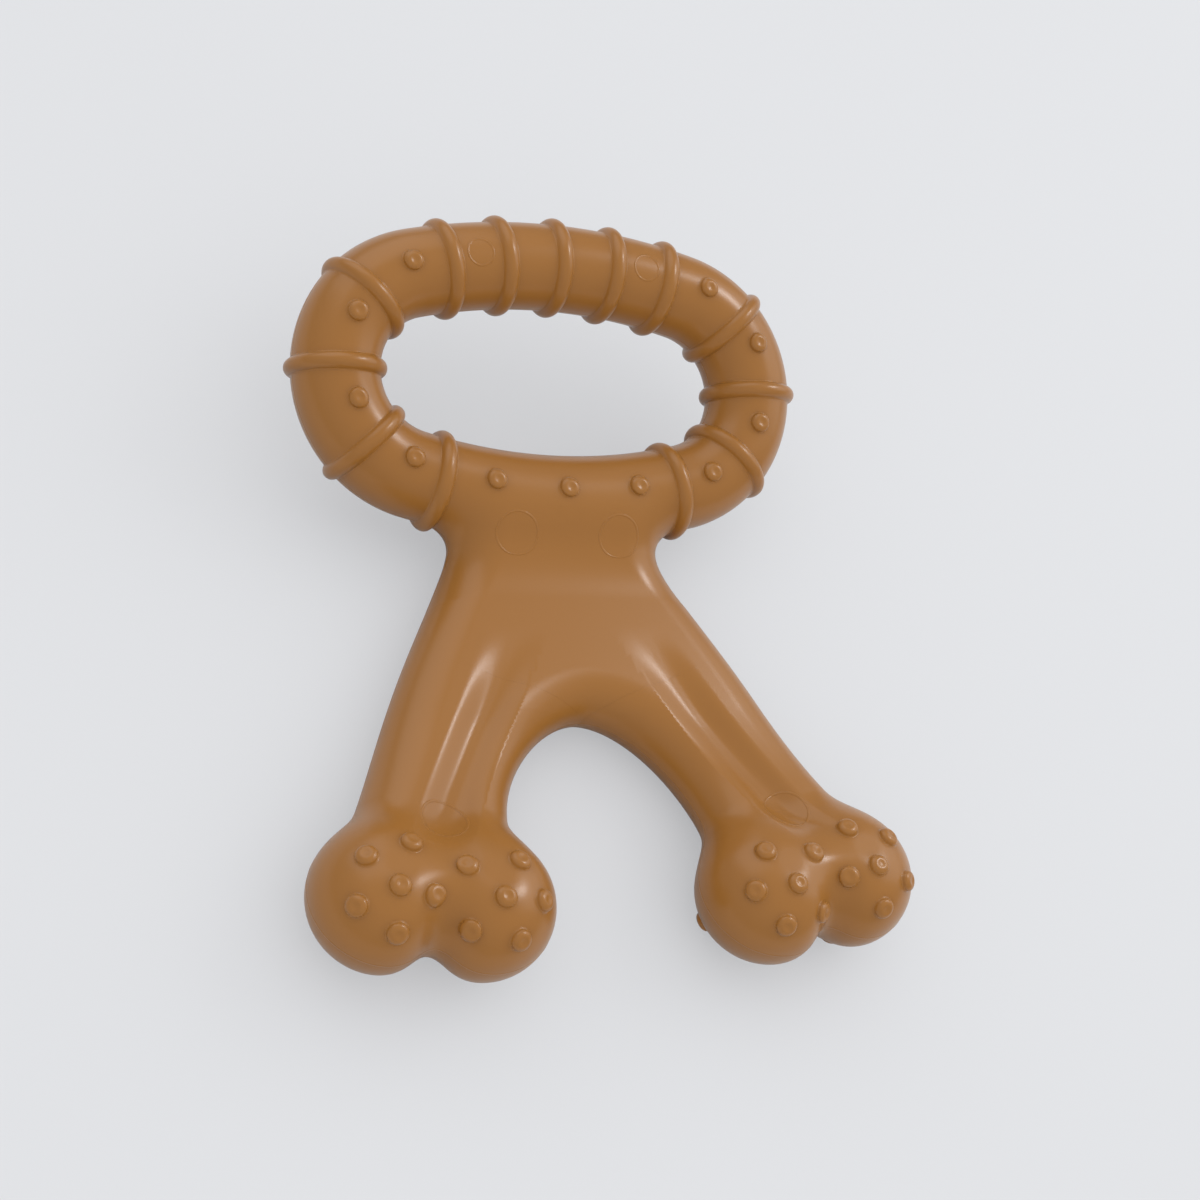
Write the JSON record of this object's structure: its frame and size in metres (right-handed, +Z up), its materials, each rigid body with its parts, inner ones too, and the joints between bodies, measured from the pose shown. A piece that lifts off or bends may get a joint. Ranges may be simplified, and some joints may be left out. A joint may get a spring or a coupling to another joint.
{
  "type": "dog chew toy",
  "caption": "Nylon dog chew toy: a ribbed oval grip ring on a bent yoke whose channelled legs end in nubbed knuckle lobes.",
  "frame": {"origin": "on the floor, at the middle of the toy's footprint box, with the toy lying on its back", "axes": "+Y towards the ring end, +Z up out of the front face, X across; the toy is mirror symmetric in X"},
  "size_m": [0.113, 0.141, 0.0408],
  "materials": {
    "nylon": "satin caramel-brown nylon with a fine grain"
  },
  "bodies": {
    "root": {"ring_top_bar": "nylon", "ring_lower_bar": "nylon", "ring_left_bend": "nylon", "ring_right_bend": "nylon", "top_rib_1": "nylon", "top_rib_2": "nylon", "top_rib_3": "nylon", "top_rib_4": "nylon", "top_rib_5": "nylon", "left_rib_1": "nylon", "left_rib_2": "nylon", "left_rib_3": "nylon", "left_rib_4": "nylon", "right_rib_1": "nylon", "right_rib_2": "nylon", "right_rib_3": "nylon", "right_rib_4": "nylon", "ring_front_nubs": "nylon", "ring_back_nubs": "nylon", "yoke": "nylon", "left_leg": "nylon", "right_leg": "nylon", "left_outer_lobe": "nylon", "left_inner_lobe": "nylon", "right_inner_lobe": "nylon", "right_outer_lobe": "nylon", "left_outer_nubs": "nylon", "left_inner_nubs": "nylon", "right_inner_nubs": "nylon", "right_outer_nubs": "nylon"}
  },
  "joints": []
}
